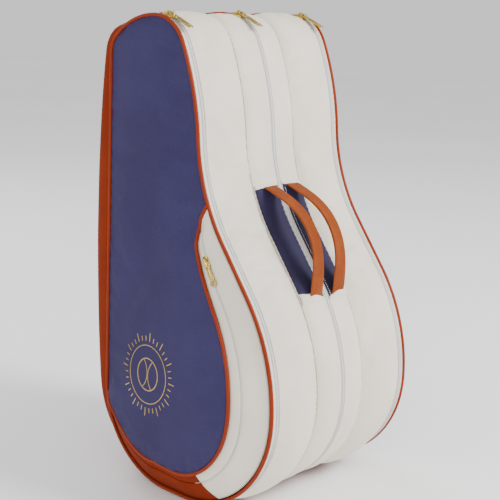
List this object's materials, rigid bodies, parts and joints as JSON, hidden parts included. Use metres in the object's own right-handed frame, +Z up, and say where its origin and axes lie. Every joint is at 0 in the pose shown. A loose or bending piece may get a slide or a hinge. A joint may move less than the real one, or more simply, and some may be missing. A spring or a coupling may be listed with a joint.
{
  "type": "racket tournament bag",
  "caption": "Tall racket bag with zipped padded compartments side by side, bulging side pockets, webbing carry handles and back straps.",
  "frame": {"origin": "middle of the standing face under the base board", "axes": "+X towards the right compartment, +Y towards the back straps, +Z up, from the wide head end to the grip end"},
  "size_m": [0.4136, 0.4432, 0.7706],
  "materials": {
    "cream_canvas": "coated canvas",
    "spine_fabric": "smooth coated fabric",
    "navy_canvas": "fine woven fabric",
    "piping": "smooth piping",
    "zip": "woven tape and nylon coil",
    "gold_metal": "polished pale gold plate",
    "webbing": "ribbed webbing",
    "navy_patch": "smooth synthetic leather",
    "lining_board": "lined stiff board",
    "strap_fabric": "padded fabric",
    "buckle": "moulded plastic"
  },
  "bodies": {
    "spine": {"back_centre_pad": "spine_fabric", "base_board": "lining_board", "left_shoulder_strap": "strap_fabric", "left_strap_buckle": "buckle", "left_strap_webbing": "webbing", "right_shoulder_strap": "strap_fabric", "right_strap_buckle": "buckle", "right_strap_webbing": "webbing", "spine_centre_panel": "spine_fabric"},
    "left_compartment": {"left_divider": "lining_board", "left_front_panel": "cream_canvas", "left_spine_panel": "spine_fabric", "left_back_pad": "spine_fabric", "left_zip_inner": "zip", "left_centre_zip": "zip", "left_middle_panel": "cream_canvas", "left_handle_patch": "navy_patch"},
    "left_side_lid": {"left_side_panel": "navy_canvas", "left_edge_strip": "cream_canvas", "left_edge_spine": "spine_fabric", "left_zip_outer": "zip", "left_side_piping": "piping", "left_pocket_gusset": "cream_canvas"},
    "left_pocket_cover": {"left_pocket_panel": "navy_canvas", "left_pocket_cover_edge": "cream_canvas", "left_pocket_piping": "piping"},
    "left_handle": {"left_handle": "webbing"},
    "left_zip_slider": {"left_zip_slider": "gold_metal"},
    "left_zip_pull": {"left_zip_pull": "gold_metal"},
    "left_pocket_zip_slider": {"left_pocket_zip_slider": "gold_metal"},
    "left_pocket_zip_pull": {"left_pocket_zip_pull": "gold_metal"},
    "right_compartment": {"right_divider": "lining_board", "right_front_panel": "cream_canvas", "right_spine_panel": "spine_fabric", "right_back_pad": "spine_fabric", "right_zip_inner": "zip", "right_centre_zip": "zip", "right_middle_panel": "cream_canvas", "right_handle_patch": "navy_patch"},
    "right_side_lid": {"right_side_panel": "navy_canvas", "right_edge_strip": "cream_canvas", "right_edge_spine": "spine_fabric", "right_zip_outer": "zip", "right_side_piping": "piping", "right_pocket_gusset": "cream_canvas"},
    "right_pocket_cover": {"right_pocket_panel": "navy_canvas", "right_pocket_cover_edge": "cream_canvas", "right_pocket_piping": "piping"},
    "right_handle": {"right_handle": "webbing"},
    "right_zip_slider": {"right_zip_slider": "gold_metal"},
    "right_zip_pull": {"right_zip_pull": "gold_metal"},
    "right_pocket_zip_slider": {"right_pocket_zip_slider": "gold_metal"},
    "right_pocket_zip_pull": {"right_pocket_zip_pull": "gold_metal"},
    "centre_zip_slider": {"centre_zip_slider": "gold_metal"},
    "centre_zip_pull": {"centre_zip_pull": "gold_metal"}
  },
  "joints": [
    {"name": "left_compartment_opens", "type": "hinge", "parent": "spine", "child": "left_compartment", "pos_m": [-0.056, 0.201, 0], "axis": [0, 0, -1], "range_deg": [0, 12]},
    {"name": "left_side_opens", "type": "hinge", "parent": "left_compartment", "child": "left_side_lid", "pos_m": [-0.153, 0.1765, 0], "axis": [0, 0, -1], "range_deg": [0, 60]},
    {"name": "left_pocket_opens", "type": "hinge", "parent": "left_side_lid", "child": "left_pocket_cover", "pos_m": [-0.1733, 0.06133, 0.2989], "axis": [-0.0088, 0.4756, -0.8796], "range_deg": [0, 30]},
    {"name": "left_zip_runs", "type": "hinge", "parent": "left_compartment", "child": "left_zip_slider", "pos_m": [-0.153, 0.06898, 0.69582], "axis": [1, 0, 0], "range_deg": [0, 45]},
    {"name": "left_zip_pull_lifts", "type": "hinge", "parent": "left_zip_slider", "child": "left_zip_pull", "pos_m": [-0.153, 0.04693, 0.76551], "axis": [-1, 0, 0], "range_deg": [0, 150]},
    {"name": "left_pocket_zip_runs", "type": "slide", "parent": "left_pocket_cover", "child": "left_pocket_zip_slider", "axis": [-0.078, -0.5566, -0.8271], "range_m": [0, 0.055]},
    {"name": "left_pocket_pull_lifts", "type": "hinge", "parent": "left_pocket_zip_slider", "child": "left_pocket_zip_pull", "pos_m": [-0.17806, -0.06756, 0.40128], "axis": [-0.1933, 0.8223, -0.5352], "range_deg": [0, 150]},
    {"name": "left_handle_swings", "type": "hinge", "parent": "left_compartment", "child": "left_handle", "pos_m": [-0.027, -0.10447, 0.41958], "axis": [0, -0.5498, -0.8353], "range_deg": [-12, 25]},
    {"name": "right_compartment_opens", "type": "hinge", "parent": "spine", "child": "right_compartment", "pos_m": [0.056, 0.201, 0], "axis": [0, 0, 1], "range_deg": [0, 12]},
    {"name": "right_side_opens", "type": "hinge", "parent": "right_compartment", "child": "right_side_lid", "pos_m": [0.153, 0.1765, 0], "axis": [0, 0, 1], "range_deg": [0, 60]},
    {"name": "right_pocket_opens", "type": "hinge", "parent": "right_side_lid", "child": "right_pocket_cover", "pos_m": [0.1733, 0.06133, 0.2989], "axis": [-0.0088, -0.4756, 0.8796], "range_deg": [0, 30]},
    {"name": "right_zip_runs", "type": "hinge", "parent": "right_compartment", "child": "right_zip_slider", "pos_m": [0.153, 0.06898, 0.69582], "axis": [1, 0, 0], "range_deg": [0, 45]},
    {"name": "right_zip_pull_lifts", "type": "hinge", "parent": "right_zip_slider", "child": "right_zip_pull", "pos_m": [0.153, 0.04693, 0.76551], "axis": [-1, 0, 0], "range_deg": [0, 150]},
    {"name": "right_pocket_zip_runs", "type": "slide", "parent": "right_pocket_cover", "child": "right_pocket_zip_slider", "axis": [0.078, -0.5566, -0.8271], "range_m": [0, 0.055]},
    {"name": "right_pocket_pull_lifts", "type": "hinge", "parent": "right_pocket_zip_slider", "child": "right_pocket_zip_pull", "pos_m": [0.17806, -0.06756, 0.40128], "axis": [-0.1933, -0.8223, 0.5352], "range_deg": [0, 150]},
    {"name": "right_handle_swings", "type": "hinge", "parent": "right_compartment", "child": "right_handle", "pos_m": [0.027, -0.10447, 0.41958], "axis": [0, 0.5498, 0.8353], "range_deg": [-12, 25]},
    {"name": "centre_zip_runs", "type": "hinge", "parent": "left_compartment", "child": "centre_zip_slider", "pos_m": [0, 0.06898, 0.69582], "axis": [1, 0, 0], "range_deg": [0, 45]},
    {"name": "centre_zip_pull_lifts", "type": "hinge", "parent": "centre_zip_slider", "child": "centre_zip_pull", "pos_m": [0, 0.04693, 0.76551], "axis": [-1, 0, 0], "range_deg": [0, 150]}
  ]
}
